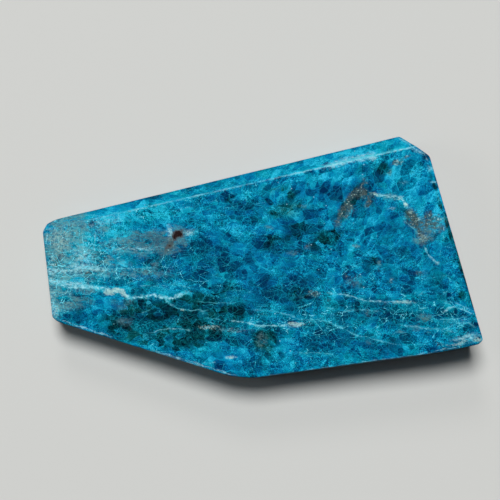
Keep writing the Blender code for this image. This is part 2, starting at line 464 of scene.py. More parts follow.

# %% [markdown]
# ## Patches
# Each patch is a soft ellipse: picture place, half width, half height, strength, and a turn in
# degrees where it has one. The deep and light ones shade the blue, the others are dark minerals,
# grey haze, rust, cream, frost and the iron spot, and the glow ones say where the painted
# highlight along the ridge is strong. The veiled and clear ones say where the net of cracks is
# dense or open. All patches of a kind are summed into one number per mesh point.
# The mesh keeps it as an attribute, and the material roughens its border later.

# %% Patches of each kind
PATCHES = {
    "deep": (
        (65, 243, 14, 9, 0.55), (74, 317, 13, 9, 1.1), (88, 273, 9, 4, 0.9),
        (89, 303, 13, 14, 0.8), (149, 240, 16, 7, 0.8), (157, 262, 24, 18, 0.7, 10),
        (160, 321, 44, 9, 0.9, -3), (162, 279, 14, 8, 0.35), (188, 345, 6, 8, 0.7),
        (190, 305, 24, 14, 0.4), (195, 245, 22, 12, 0.3), (204, 242, 7, 5, 0.9),
        (213, 340, 24, 16, 0.5), (214, 257, 24, 15, 0.5), (226, 262, 10, 7, 0.9),
        (240, 276, 12, 8, 0.4), (240, 298, 26, 16, 0.35), (245, 206, 26, 8, 0.7, 6),
        (250, 260, 11, 5, 0.6), (253, 366, 12, 6, 0.8), (266, 285, 5, 7, 0.8),
        (266, 298, 6, 7, 0.9), (272, 241, 32, 11, 0.45), (276, 253, 20, 8, 0.5),
        (286, 321, 12, 8, 0.5), (288, 223, 8, 4, 1), (290, 186, 13, 7, 0.35, 12),
        (290, 290, 20, 14, 0.5), (293, 235, 8, 11, 0.6), (300, 309, 12, 4, 0.4, -8),
        (308, 365, 9, 5, 0.6), (312, 290, 12, 16, 0.7), (314, 343, 16, 10, 0.9, 5),
        (319, 333, 9, 4, 0.7, 25), (322, 270, 5, 5, 0.7), (330, 190, 14, 10, 0.5, 20),
        (336, 241, 16, 14, 0.6, 30), (338, 346, 12, 8, 0.4), (343, 315, 10, 4, 0.5, -15),
        (352, 301, 12, 4, 0.6, -8), (352, 338, 22, 5, 0.8, -18), (360, 310, 46, 14, 0.35, 5),
        (363, 169, 11, 5, 0.8, 15), (364, 194, 15, 19, 0.8, -10), (366, 346, 18, 4, 0.6, -10),
        (372, 300, 9, 3, 0.4, -10), (382, 347, 12, 6, 0.8, -12), (385, 307, 14, 4, 0.5, -5),
        (386, 163, 11, 6, 0.3, 12), (388, 229, 11, 6, 0.7, 10), (402, 315, 9, 3.5, 0.6, -20),
        (405, 322, 34, 8, 0.75, -4), (412, 255, 10, 8, 0.5), (420, 300, 10, 4, 0.5, 10),
        (423, 163, 4, 4, 0.9), (430, 338, 12, 3, 0.5, -6), (440, 288, 14, 16, 0.6),
        (453, 313, 13, 4, 1.2, -5), (463, 278, 5, 9, 0.35, 15), (475, 325, 6, 4, 0.6),
    ),
    "light": (
        (75, 246, 5, 4, 0.7), (78, 250, 24, 14, 1), (80, 280, 28, 14, 0.6), (93, 224, 14, 9, 0.7),
        (98, 302, 11, 13, 1.2), (117, 234, 8, 6, 0.7), (122, 219, 46, 9, 1, 9),
        (122, 231, 24, 8, 0.5, 4), (122, 265, 5, 4, 1), (150, 204, 50, 5, 0.6, 13),
        (180, 212, 22, 9, 0.5, 8), (188, 298, 13, 8, 0.9), (209, 212, 6, 7, 0.7),
        (212, 323, 10, 8, 0.4), (216, 352, 26, 13, 0.8, 5), (233, 227, 9, 5, 0.8),
        (242, 254, 17, 8, 0.7), (244, 232, 22, 14, 0.5), (248, 267, 11, 5, 0.6),
        (250, 181, 60, 5, 0.4, 13), (264, 259, 9, 7, 1.2), (268, 190, 40, 7, 0.8, 12),
        (287, 214, 14, 17, 1), (287, 367, 10, 6, 0.4), (292, 352, 15, 10, 0.6),
        (314, 168, 30, 12, 0.7, 12), (314, 287, 8, 4, 0.9), (320, 163, 26, 5, 0.9, 12),
        (336, 299, 12, 7, 0.7), (340, 176, 24, 10, 1.1, 12), (345, 262, 12, 7, 0.5),
        (360, 325, 20, 4, 0.5, -17), (361, 249, 11, 11, 1.2), (368, 215, 15, 12, 0.9),
        (368, 346, 38, 8, 0.7, -5), (373, 150, 42, 6, 1.1, 12), (385, 168, 24, 10, 0.5, 10),
        (405, 262, 12, 8, 0.4), (410, 178, 30, 20, 0.5), (411, 191, 15, 18, 1.2),
        (412, 232, 9, 8, 0.3), (430, 328, 26, 5, 0.4, -5), (431, 170, 5, 5, 0.8),
        (437, 215, 10, 22, 1, -12), (437, 344, 14, 6, 0.6, -8),
    ),
    "dark": (
        (128, 320, 18, 14, 0.4), (129, 320, 20, 16, 0.5), (142, 318, 7, 6, 0.7),
        (163, 321, 36, 10, 0.5, -2), (165, 336, 24, 10, 0.4), (166, 320, 38, 18, 0.55),
        (169.5, 246, 4, 8, 0.9, -30), (172, 318, 40, 20, 0.45), (172, 337, 11, 6, 0.55),
        (183, 320, 9, 8, 1), (184, 322, 17, 16, 0.5), (188, 336, 22, 14, 0.6),
        (190, 312, 20, 12, 0.5), (201, 304, 10, 5, 0.6), (214, 300, 26, 14, 0.35),
        (214, 324, 28, 12, 0.3), (226, 313, 11, 4, 0.7), (228, 287, 5, 5, 0.8),
        (234, 201, 10, 6, 0.6), (240, 306, 20, 12, 0.3), (264, 341, 12, 14, 0.5),
        (265, 341, 9, 12, 0.7), (268, 240, 4, 7, 0.9), (270, 190, 20, 7, 0.3, 10),
        (284, 212, 13, 7, 0.6), (286, 240, 16, 10, 0.25), (292, 193, 7, 5, 0.6),
        (295, 215, 26, 22, 0.35), (295, 293, 8, 7, 0.8), (305, 296, 14, 6, 0.35, -6),
        (322, 242, 9, 5, 0.8, 35), (325, 238, 20, 10, 0.4, 30), (332, 237, 8, 4, 0.7, 35),
        (350, 203, 4, 17, 0.8, -32), (354, 196, 16, 8, 0.4, 55), (360, 305, 36, 12, 0.25, 5),
        (362, 192, 6, 5, 0.9), (373, 261, 6, 5, 0.8), (385, 169, 7, 6, 0.8),
        (412, 219, 10, 7, 0.35, -50), (413, 219, 4, 9, 0.8, 28), (432, 226, 9, 3, 0.5, -10),
        (446, 333, 4, 2, 0.8), (455, 247, 92, 2, 1, -73.6), (462, 295, 4, 4, 0.8),
    ),
    "grey": (
        (54, 290, 10, 18, 0.4), (56, 245, 14, 30, 0.4), (56, 312, 6, 10, 0.6),
        (57, 241, 9, 10, 0.7), (62, 285, 18, 26, 0.3), (62, 306, 7, 4, 0.9),
        (65, 217, 16, 6, 0.6, 10), (65, 237, 20, 26, 0.5), (70, 306, 7, 7, 0.7),
        (76, 246, 26, 30, 0.25), (79, 226, 6, 8, 0.8), (80, 275, 26, 14, 0.3),
        (84, 302, 10, 7, 0.6), (86, 272, 9, 4, 0.8), (91, 290, 8, 3, 0.7), (104, 229, 4, 2, 0.9),
        (110, 250, 50, 24, 0.2), (111, 262, 9, 3, 0.7), (120, 300, 18, 6, 0.4),
        (121, 322, 14, 12, 0.25), (125, 318, 12, 20, 0.22), (130, 242, 9, 4, 0.8),
        (136, 245, 30, 17, 0.35), (138, 273, 30, 5, 0.5), (152, 240, 13, 9, 0.8),
        (155, 264, 4, 3, 0.6), (160, 276, 16, 7, 0.4), (168, 246, 7, 9, 0.8, -30),
        (172, 246, 14, 14, 0.4), (175, 318, 24, 12, 0.25), (176, 236, 18, 14, 0.4),
        (262, 340, 9, 10, 0.55), (270, 227, 6, 4, 0.7), (293, 253, 7, 3, 0.7),
        (298, 297, 14, 6, 0.4), (303, 206, 6, 4, 0.6), (330, 300, 12, 5, 0.4, -8),
        (350, 206, 9, 16, 0.5, -32), (354, 280, 13, 7, 0.5, -10), (355, 246, 6, 3, 0.6),
        (369, 342, 4, 4, 0.6), (372, 292, 16, 6, 0.2, -15), (379, 265, 3, 7, 0.7),
        (385, 312, 50, 12, 0.2, 5), (400, 332, 7, 3, 0.5), (417, 328, 5, 4, 0.7),
        (422, 240, 9, 9, 0.7), (422, 274, 12, 6, 0.45), (425, 318, 11, 4, 0.45),
        (430, 226, 18, 12, 0.6, 10),
    ),
    "rust": (
        (55, 264, 2, 7, 0.7, 25), (56, 262, 4, 7, 0.6, 10), (58, 246, 8, 16, 0.45),
        (60, 226, 10, 5, 0.35, 10), (79, 226, 4, 6, 0.4), (86, 273, 7, 3, 0.5),
        (88, 280, 5, 11, 0.6), (130, 242, 7, 2, 0.5), (170.5, 245, 3, 7.5, 1.2, -30),
        (262, 342, 7, 7, 0.55), (308, 247, 5, 4, 0.8, 30), (313, 293, 6, 3, 0.8),
        (315, 294, 8, 3, 0.5, -5), (346, 276, 4, 4, 0.6), (354, 284, 5, 4, 0.6),
        (361, 193, 9, 6, 0.9), (368, 314, 5, 4, 0.6), (389, 173, 3, 4, 0.7),
        (392, 280, 3, 4, 0.8), (396, 162.5, 6, 3.4, 1.2, 15), (407, 157, 5, 2, 0.9, 20),
        (412, 218, 9, 8, 0.9, 45), (420, 273, 8, 3, 0.7), (423, 238, 6, 8, 0.8),
        (425, 319, 6, 3, 0.9), (430, 214, 4, 4, 0.7), (434, 222, 13, 7, 0.9, 15),
        (440, 345, 5, 3, 0.7),
    ),
    "cream": (
        (50, 300, 4, 14, 0.4), (56, 312, 4, 8, 0.5), (60, 241, 15, 20, 0.48),
        (109, 292.5, 5, 2.6, 1.1, -8), (118, 290.5, 6, 2, 1.1, -10), (124, 294.5, 3.5, 2, 1, -45),
        (170, 230, 3, 7, 0.4, 20), (170, 240, 5, 4, 0.4), (180, 360.5, 40, 1.4, 0.5, -18),
        (184, 310, 3, 1, 0.8), (185, 208, 34, 2, 0.3, 14), (189, 233, 9, 4, 0.5, 10),
        (209, 327, 13, 3, 0.6), (231, 357, 7, 2, 0.7), (296, 324, 10, 2, 0.9),
        (376, 194, 4, 2, 0.8), (400, 198, 4, 2.4, 0.8, 30), (404, 302, 14, 2, 0.6),
        (406, 205, 3, 3, 0.7, 40), (411, 212, 2, 2, 0.8), (418, 219, 5, 2, 0.6, 35),
        (424, 238, 6, 6, 0.5), (437, 263, 3, 2, 0.5), (458, 344, 14, 1.6, 0.7, 8),
        (478, 340, 4, 2, 0.8),
    ),
    "veiled": (
        (56, 285, 12, 20, 0.8), (60, 245, 20, 30, 0.6), (60, 300, 16, 26, 0.6),
        (70, 262, 30, 40, 0.5), (92, 252, 26, 20, 1), (110, 272, 55, 14, 0.8),
        (140, 216, 44, 8, 0.6, 10), (225, 285, 30, 12, 0.5), (225, 330, 40, 16, 0.5),
        (300, 322, 44, 12, 0.6, 5), (385, 315, 50, 14, 0.6, 5), (455, 312, 28, 24, 0.8),
    ),
    "clear": (
        (78, 318, 20, 10, 0.7), (98, 300, 12, 14, 0.6), (215, 352, 32, 14, 0.7),
        (248, 260, 22, 14, 0.8), (300, 225, 24, 20, 0.5), (335, 190, 38, 26, 1),
        (380, 350, 26, 10, 0.6), (390, 232, 34, 18, 0.7), (412, 190, 32, 34, 0.5),
    ),
    # Where the painted highlight along the ridge is strong
    "ridge_glow": (
        (140, 207, 40, 8, 0.3, 12), (225, 188, 30, 8, 0.2, 12), (300, 170, 22, 8, 0.5, 12),
        (345, 160, 30, 12, 1, 12), (375, 155, 8, 8, 0.9), (397, 150, 16, 6, 0.5, 12),
        (402, 149, 10, 6, 0.4, 12),
    ),
    "iron": (
        (169, 246, 3.2, 8, 0.55, -32), (174.8, 237.5, 2.2, 3.4, 0.4, -35),
        (178.5, 233.6, 5.6, 3.8, 1.2), (394.5, 163, 3.4, 2, 0.4, 15),
    ),
    "frost": (
        (46.6, 238, 1.2, 5, 1), (49.4, 229, 1.4, 2, 0.8), (52, 262, 5, 16, 0.5),
        (52, 303, 4, 14, 0.6), (62, 272, 18, 3, 0.7), (62, 282.5, 18, 2.4, 1, -7),
        (84, 256, 13, 12, 0.6), (90, 268, 22, 2.4, 0.8, -4), (91, 287, 14, 2, 0.8, -9),
        (104, 222, 26, 6, 0.5, 10), (140, 249, 30, 2.5, 0.6), (170, 231, 3.5, 8, 0.8, 20),
        (190, 232, 10, 4, 0.6, 8), (232, 330, 24, 4, 0.4), (292, 325, 14, 3, 0.6),
        (336, 165, 12, 3, 0.5, 12), (346, 160.5, 24, 3.5, 0.6, 12), (356, 246, 6, 2, 0.5),
        (357, 219, 6, 2, 0.3), (362, 158, 8, 4, 0.4, 12), (373, 156, 4, 6, 0.8),
        (392, 151, 10, 2, 0.5, 12), (392, 208.5, 5, 1.6, 0.6), (398, 303, 26, 3, 0.3, 5),
        (404, 182, 6, 3, 0.4), (418, 151, 12, 3, 0.5, -25), (431, 169, 5, 4, 0.6),
        (434, 182, 5, 2, 0.5), (458, 322, 22, 8, 0.3), (466, 338, 14, 4, 0.8, 8),
    ),
}
PATCH_SOFTNESS, PATCH_LIMIT = 0.9, 1.2


def patch_sum(patches, place):
    """Sum of bell curves, up to a limit: each is its strength times e to the power of minus
    the softness times the square of the distance, counted in half widths and half heights."""
    total = np.zeros(len(place))
    for x, y, wide, tall, strength, *turn in patches:
        middle = map_of_picture(x, y)[0]
        angle = math.radians(sum(turn))
        dx, dy = (place - middle).T / MM_PER_PIXEL
        along = (dx * math.cos(angle) + dy * math.sin(angle)) / wide
        across = (dy * math.cos(angle) - dx * math.sin(angle)) / tall
        total = total + strength * np.exp(-PATCH_SOFTNESS * (along**2 + across**2))
    return np.minimum(total, PATCH_LIMIT)


def keep(name, values):
    """Stores one number per mesh point under a name that the material can read."""
    layer = mesh.attributes.new(name, "FLOAT", "POINT")
    layer.data.foreach_set("value", np.asarray(values, np.float32))


for kind, patches in PATCHES.items():
    values = patch_sum(patches, stone_map)
    keep(kind, values)
    print(f"{kind}: {len(patches)} patches, mean {values.mean():.3f}")

# %% [markdown]
# ## Which facet a point is on
# The ridge of the broad bevel carries a painted highlight, the brightest line of the stone, and
# the bevel is calmer than the face. The material needs to know both: how far a point lies past the
# ridge, and whether the surface there faces the way the bevel or the face does.

# %% Ridge, bevel and face
NEAR_SIDE, FAR_SIDE = -9, 30
across_ridge = square_to(outward(ridge_end, ridge_start), ridge_start - ridge_end)
ridge_distance = (points - ridge_left) @ across_ridge / MM_PER_PIXEL
faces_out = slope / np.linalg.norm(slope, axis=1, keepdims=True)


def facing(plane, start, fade):
    """How much a point faces as a cut does: both directions' product, less a start, by a fade."""
    return np.clip((faces_out @ plane[0] - start) / fade, 0, 1)


keep("past_ridge", np.clip(ridge_distance, NEAR_SIDE, FAR_SIDE))
keep("on_bevel", facing(bevel_cut, 0.80, 0.12))
keep("on_top", facing(face_cut, 0.70, 0.20))
print("points past the ridge:", int((ridge_distance > 0).sum()))

# %% [markdown]
# ## Veins
# A vein is a thin healed crack. A hairline is narrower than the mesh can show, so the mesh doesn't
# store whether a point is on the vein. It stores the signed distance to the line, which changes
# evenly from point to point and so stays exact in between. The material draws the line where that
# distance passes through zero. Veins that run close together are kept in different sets. The rust
# veins form the brown fork, and the rim lines are painted highlights along the rim.

# %% Vein lines
# Each vein: half width in pixels, strength, then its points in the picture
VEIN_SETS = {
    "vein_a": (
        (1.4, 1.2, (48, 282), (65, 286), (79, 287), (101, 288), (110, 291), (121, 290), (127, 295),
         (134, 298), (150, 296), (169, 298), (181, 295), (192, 291)),
        (0.7, 0.5, (95, 230), (95, 240), (94, 253)),
        (0.8, 0.7, (229, 320), (246, 322), (255, 326), (266, 326), (283, 325), (289, 323)),
        (0.8, 0.55, (325, 292), (336, 294), (347, 295), (359, 299), (382, 302), (396, 302),
         (417, 303)),
        (0.8, 0.6, (441, 315), (450, 307.5), (460, 308.5), (475, 314)),
        (0.6, 0.5, (146, 333), (158, 331), (171, 329), (192, 330)),
        (0.6, 0.5, (430, 183), (438, 181)),
        (1.3, 1.0, (370, 193), (378, 195), (386, 196), (396, 197), (403, 201), (410, 208)),
        (0.7, 0.7, (424, 246), (429, 254), (433, 259), (439, 264)),
        (0.5, 0.5, (87, 215.5), (106, 216.4)),
        (0.6, 0.5, (180, 199), (203, 194)),
    ),
    "vein_b": (
        (0.9, 0.6, (61, 261), (75, 264), (84, 267), (97, 268), (128, 269), (146, 268), (160, 267)),
        (0.6, 0.6, (250, 309), (273, 311.5), (289, 314.5), (300, 319), (323, 321), (337, 325.5),
         (354, 334), (369, 338), (394, 344), (404, 346)),
        (0.8, 0.6, (164, 297), (169, 303), (177, 308), (190, 310), (209, 310)),
        (0.7, 0.5, (340, 315), (350, 310.6), (366, 310.6), (382, 311.6)),
        (0.6, 0.5, (434, 320), (455, 319), (468, 315.7)),
        (0.6, 0.4, (142, 313), (150, 310)),
        (0.5, 0.5, (134, 285), (152, 286), (172, 285), (196, 288)),
        (0.5, 0.4, (204, 318), (222, 320.5)),
        (0.6, 0.5, (225, 358), (238, 357)),
        (0.5, 0.5, (111, 252), (124, 252), (138, 253), (156, 253)),
        (0.5, 0.4, (293, 352), (329, 354), (336, 359)),
        (0.7, 0.5, (402, 217), (406, 222), (413, 228), (419, 234)),
    ),
    "vein_c": (
        (0.8, 0.6, (49, 274), (62, 276), (79, 275.5), (99, 274.5), (111, 276.5), (124, 279)),
        (0.5, 0.4, (107, 239), (122, 239)),
        (0.7, 0.5, (325, 306.5), (335, 309)),
        (0.5, 0.5, (58, 252), (80, 251), (98, 254)),
        (0.5, 0.45, (60, 279.5), (84, 281), (104, 281.5)),
        (0.5, 0.5, (196, 301), (215, 303), (236, 302)),
        (0.8, 0.5, (395, 325), (412, 326), (428, 329), (446, 328), (462, 322), (478, 328)),
        (0.6, 0.45, (440, 300), (455, 303), (470, 309), (478, 312)),
        (0.6, 0.5, (417, 296), (425, 291)),
        (0.6, 0.4, (437, 329), (447, 330.5), (455.6, 332), (463, 325)),
        (0.7, 0.5, (204, 362), (216, 363)),
    ),
    "rust_vein": (
        (2.5, 1.0, (366, 178), (361, 186), (355, 192), (350, 200), (345, 208), (340, 217),
         (335, 227)),
        (1.6, 0.8, (352, 203), (348, 211), (344, 219)),
        (2.0, 1.0, (358, 191), (364, 194), (369, 198), (368, 204), (364, 208)),
        (2.0, 0.7, (368, 193), (376, 194), (386, 196), (398, 197)),
        (4.0, 1.0, (406, 208), (411, 214), (415, 221), (418, 228), (423, 238), (426, 246)),
        (2.6, 0.9, (418, 219), (426, 224), (434, 227), (446, 229)),
        (1.6, 0.8, (425, 218), (431, 213)),
    ),
    # Painted highlights along the rim, drawn like veins
    "rim_highlight": (
        (0.6, 0.7, (397, 137), (413, 146.8), (425, 154.5), (430, 162)),
        (0.8, 0.9, (56, 318.5), (70, 323), (112, 337)),
        (0.8, 0.8, (150, 350), (219, 370), (240, 377)),
        (0.7, 0.6, (250, 378.5), (330, 367.5), (440, 351), (477, 342)),
    ),
}
FAR, END_TAPER = 9.0, 9.0
FADE_START, FADE_REACH = 2.2, 0.5


def nearest_on_line(place, line):
    """Signed distance to a polyline and how far along it the nearest point lies, 0 to 1."""
    lengths = np.linalg.norm(np.diff(line, axis=0), axis=1)
    reached = np.concatenate([[0], np.cumsum(lengths)])
    best = np.full(len(place), np.inf)
    signed = np.zeros(len(place))
    along = np.zeros(len(place))
    for k, length in enumerate(lengths):
        direction = (line[k + 1] - line[k]) / length
        offset = place - line[k]
        t = np.clip(offset @ direction, 0, length)
        distance = np.linalg.norm(offset - t[:, None] * direction, axis=1)
        side = np.sign(direction[0] * offset[:, 1] - direction[1] * offset[:, 0])
        closer = distance < best
        best = np.where(closer, distance, best)
        signed = np.where(closer, side * distance, signed)
        along = np.where(closer, (reached[k] + t) / reached[-1], along)
    return signed, along


def smooth_line(corners):
    """A curve through all the corners: each piece is a cubic whose slopes match its neighbours."""
    p = np.concatenate([[2 * corners[0] - corners[1]], corners, [2 * corners[-1] - corners[-2]]])
    t = np.linspace(0, 1, 5)[:-1, None]
    pieces = []
    for a, b, c, d in zip(p[:-3], p[1:-2], p[2:-1], p[3:]):
        bend = (2 * a - 5 * b + 4 * c - d) * t**2 + (3 * b - a - 3 * c + d) * t**3
        pieces.append(0.5 * (2 * b + (c - a) * t + bend))
    return np.concatenate([*pieces, corners[-1:]])


for name, veins in VEIN_SETS.items():
    offset = np.full(len(points), FAR)
    strength = np.zeros(len(points))
    nearest = np.full(len(points), np.inf)
    for width, power, *corners in veins:
        line = map_of_picture(*np.array(corners, float).T)
        line = line if name == "rim_highlight" else smooth_line(line)
        signed, along = nearest_on_line(stone_map, line)
        distance = np.abs(signed)
        ends = np.clip(np.minimum(along, 1 - along) * END_TAPER, 0, 1)
        here = power * ends * np.clip(FADE_START - distance / FADE_REACH, 0, 1)
        closer = distance < nearest
        nearest = np.where(closer, distance, nearest)
        offset = np.where(closer, np.clip(signed / (width * MM_PER_PIXEL), -FAR, FAR), offset)
        strength = np.where(closer, here, strength)
    keep(name, offset)
    keep(name + "_strength", strength)
    print(f"{name}: {len(veins)} lines")

# %% [markdown]
# ## The material, from the back to the front
# Everything is mixed in one node tree that reads the object's own coordinates in
# millimetres, so the pattern is cut by the walls as a real one is. Small helpers keep the
# cells short: one makes a node and plugs in numbers or other nodes, the others are common
# uses of it.

# %% Helpers for the material
material = bpy.data.materials.new("polished_apatite")
material.use_nodes = True
tree = material.node_tree
tree.nodes.clear()


def node(kind, settings=None, **inputs):
    """One node with its options set and its inputs filled by a value or by another socket."""
    made = tree.nodes.new("ShaderNode" + kind)
    for key, value in (settings or {}).items():
        setattr(made, key, value)
    for key, value in inputs.items():
        socket = made.inputs[int(key[1:])] if key[0] == "_" else made.inputs[key.replace("_", " ")]
        if isinstance(value, bpy.types.NodeSocket):
            tree.links.new(value, socket)
        else:
            socket.default_value = value
    return made


def calc(operation, a, b=0.0, c=0.0):
    """One step of arithmetic on up to three numbers."""
    return node("Math", {"operation": operation}, _0=a, _1=b, _2=c).outputs[0]


def times(*factors):
    """The product of two or more numbers."""
    product = factors[0]
    for factor in factors[1:]:
        product = calc("MULTIPLY", product, factor)
    return product


def times_plus(a, b, base):
    """a times b, added to a base."""
    return calc("MULTIPLY_ADD", a, b, base)


def larger(a, b):
    """The larger of two numbers."""
    return calc("MAXIMUM", a, b)


def centred(value, amount, base):
    """A base plus an amount times the part of a random number that is above or below a half."""
    return times_plus(calc("SUBTRACT", value, 0.5), amount, base)


def ramp(value, start, end, low_value=0.0, high_value=1.0):
    """A smooth step from one value to another while the input goes from start to end."""
    made = node("MapRange", {"interpolation_type": "SMOOTHSTEP"}, Value=value)
    limits = {"From Min": start, "From Max": end, "To Min": low_value, "To Max": high_value}
    for key, number in limits.items():
        made.inputs[key].default_value = number
    return made.outputs[0]


def blend_colours(share_of_b, a, b, way="MIX"):
    """Colour a turned into colour b by a share from 0 to 1."""
    made = node("Mix", {"data_type": "RGBA", "blend_type": way}, _0=share_of_b, _6=a, _7=b)
    return made.outputs[2]


def stored(name):
    """The number kept at the mesh points under this name."""
    return node("Attribute", {"attribute_name": name}).outputs["Fac"]


def speckle(place, scale, detail=3.0, roughness=0.55):
    """Cloudy noise: its grey value, near 0.5, at a scale of so many lumps per millimetre."""
    made = node("TexNoise", None, Vector=place, Scale=scale, Detail=detail, Roughness=roughness)
    return made.outputs[0]


def cells(place, scale, feature="F1"):
    """Random cells: each one's middle and colour, or the distance to the nearest border."""
    return node("TexVoronoi", {"feature": feature}, Vector=place, Scale=scale)


def cell_numbers(cell):
    """Three different random numbers in each cell, from 0 to 1."""
    return node("SeparateColor", None, _0=cell.outputs["Color"]).outputs


def border(where, scale):
    """Distance to the nearest border between cells."""
    return cells(where, scale, "DISTANCE_TO_EDGE").outputs["Distance"]


def vector(operation, a, b):
    """One step of arithmetic on two places or directions."""
    made = node("VectorMath", {"operation": operation}, _0=a, _1=b)
    return made.outputs["Value" if operation == "DOT_PRODUCT" else "Vector"]


def scaled(place, amount):
    """A place or direction made larger or smaller."""
    return node("VectorMath", {"operation": "SCALE"}, _0=place, Scale=amount).outputs[0]


def moved(place, by, amount):
    """A place pushed about by a coloured noise, up to half the amount each way."""
    return vector("ADD", place, scaled(vector("SUBTRACT", by, (0.5, 0.5, 0.5)), amount))


def turned(place, angle, stretch):
    """A place turned about the vertical by an angle in degrees, then stretched along its axes."""
    made = node("Mapping", {"vector_type": "POINT"}, Vector=place)
    made.inputs["Rotation"].default_value = (0, 0, math.radians(angle))
    return vector("MULTIPLY", made.outputs[0], stretch)


print("an empty tree:", len(tree.nodes), "nodes")

# %% [markdown]
# ### Places
# The object's coordinates are in metres, so they are scaled to millimetres first. Two
# noises then push them about: cracks that follow the pushed place wander like real ones.
# Four more noises, from slow clouds to fine grit, are made here once and used all over.

# %% Places in millimetres, plain and pushed about
place = scaled(node("TexCoord").outputs["Object"], 1 / MM)
slow_push = node("TexNoise", None, Vector=place, Scale=0.22, Detail=1.0).outputs[1]
fast_push = node("TexNoise", None, Vector=place, Scale=0.9, Detail=1.0).outputs[1]
drifting = moved(place, slow_push, 1.1)
wandering = moved(drifting, fast_push, 0.25)
cloud = speckle(drifting, 0.14, 2.0, 0.5)
rough = speckle(place, 1.3, 4.0, 0.62)
fine = speckle(place, 3.6, 3.0, 0.6)
grit = speckle(place, 6.0, 1.0, 0.5)
print("place nodes:", len(tree.nodes))

# %% [markdown]
# ### The grain
# The stone is a mass of crystal grains. Random cells stand for them in three sizes: plates of
# about 2 mm, grains of 1 mm and crumbs of less than half a millimetre. The cells are longer than
# wide. They run nearly level in most of the stone and rise steeply at the upper right, as its
# grain does. Each cell has random numbers of its own, and painted light and shade: one side of it
# is painted paler and the other darker, in most cells the upper side paler.

# %% The grain of the stone
LEVEL_TURN, RISING_TURN, PLATE_TURN = 9.0, -52.0, 8.0
PLATE, GRAIN, CRUMB = 0.50, 1.05, 2.30
PLATE_STRETCH, GRAIN_STRETCH = (0.8, 1.0, 1.0), (0.66, 1.0, 0.8)
# Cell colours are measured from this middle, which tips most cells' direction upwards, so that the
# painted light falls on their upper side
PAINTED_SHADE_MIDDLE = (0.5, 0.38, 0.5)
split = node("SeparateXYZ", None, _0=place)
up_right = times_plus(split.outputs[0], 0.55, split.outputs[1])
part_border = times_plus(speckle(place, 0.12, 2.0), 16.0, up_right)
rising_part = calc("GREATER_THAN", part_border, 19.0)


def by_part(where, level_turn, rising_turn, stretch):
    """A place turned to the rising grain at upper right and to the level grain elsewhere."""
    level, rising = turned(where, level_turn, stretch), turned(where, rising_turn, stretch)
    made = node("Mix", {"data_type": "VECTOR"}, _0=rising_part, _4=level, _5=rising)
    return made.outputs[1]


def lean(cell, where, scale):
    """Painted light and shade in a cell: which side of it a point is on, as its offset from the
    cell's middle in half cells, times a direction of the cell's own, which in most cells points
    upwards, so that the upper side is painted paler."""
    offset = vector("SUBTRACT", where, cell.outputs["Position"])
    direction = vector("SUBTRACT", cell.outputs["Color"], PAINTED_SHADE_MIDDLE)
    return times(vector("DOT_PRODUCT", offset, direction), 2.0 * scale)


grain_place = by_part(wandering, LEVEL_TURN, RISING_TURN, GRAIN_STRETCH)
plate_place = by_part(drifting, LEVEL_TURN + PLATE_TURN, RISING_TURN + PLATE_TURN, PLATE_STRETCH)
plate_cells, grain_cells = cells(plate_place, PLATE), cells(grain_place, GRAIN)
plate, grain = cell_numbers(plate_cells), cell_numbers(grain_cells)
crumb = cell_numbers(cells(grain_place, CRUMB))
plate_border, grain_border = border(plate_place, PLATE), border(grain_place, GRAIN)
# Painted light and shade: one side of each plate and grain is paler, the other darker
plate_painted_shade = lean(plate_cells, plate_place, PLATE)
grain_painted_shade = lean(grain_cells, grain_place, GRAIN)
print("grain nodes:", len(tree.nodes))

# %% [markdown]
# ### Blue ground
# Apatite is blue because light sinks in and comes back from cracks at different depths.
# Clear parts are deep blue, cracked parts are pale. One number, the tone, gathers all that:
# clouds, the plates and grains with their painted light and shade, small crumbs and grit that are
# stronger in some parts than in others, streaks where the stone is veiled, and the deep and light
# patches. On the bevel the tone is calmer, and it is lifted towards pale as painted light on the
# facet that faces the light from behind.

# %% The tone
MIDDLE_TONE = 0.588
CALM_FROM, CALM_SHARE, CALM_TONE = 0.58, 0.75, 0.64


def ragged(name, noise, amount, start, end):
    """A patch with a torn border: its number times noise, through a smooth step."""
    return ramp(times(stored(name), centred(noise, 2.0 * amount, 1.0)), start, end)


blotch = speckle(turned(drifting, LEVEL_TURN, (0.7, 1.0, 1.0)), 0.42, 2.0, 0.5)
streaks = speckle(turned(drifting, LEVEL_TURN - 6, (0.20, 1.4, 1.2)), 0.8, 4.0, 0.65)
dark_plate = times(ramp(plate[0], 0.68, 0.82), ramp(plate_border, 0.0, 0.05))
dark_plate = times(dark_plate, times_plus(stored("clear"), 0.5, 1.0))
dark_grain = times(ramp(grain[0], 0.66, 0.84), ramp(grain_border, 0.0, 0.08))
small_tone = 0.0
for number, amount in ((crumb[0], 0.26), (rough, 0.28), (fine, 0.60), (grit, 1.15)):
    small_tone = centred(number, amount, small_tone)
small_share = ramp(speckle(drifting, 0.33, 2.0), 0.38, 0.62, 0.60, 1.45)
small_share = times(small_share, times_plus(stored("clear"), -0.45, 1.0))

tone = MIDDLE_TONE
for number, amount in ((cloud, 0.12), (blotch, 0.30), (plate[1], 0.10), (grain[1], 0.18)):
    tone = centred(number, amount, tone)
for number, amount in (
    # painted light and shade of the plates and grains
    (plate_painted_shade, 0.15),
    (grain_painted_shade, 0.10),
    (dark_plate, -0.21),
    (dark_grain, -0.21),
    (small_tone, small_share),
    (ragged("deep", plate[1], 0.5, 0.15, 0.75), -0.20),
    (ragged("deep", grain[1], 0.7, 0.15, 0.70), -0.12),
    (stored("light"), 0.12),
    (ragged("light", grain[2], 0.7, 0.15, 0.90), 0.14),
    (times(stored("veiled"), ramp(streaks, 0.40, 0.66, -0.45, 1.0)), 0.13),
):
    tone = times_plus(number, amount, tone)

bevel_share = stored("on_bevel")
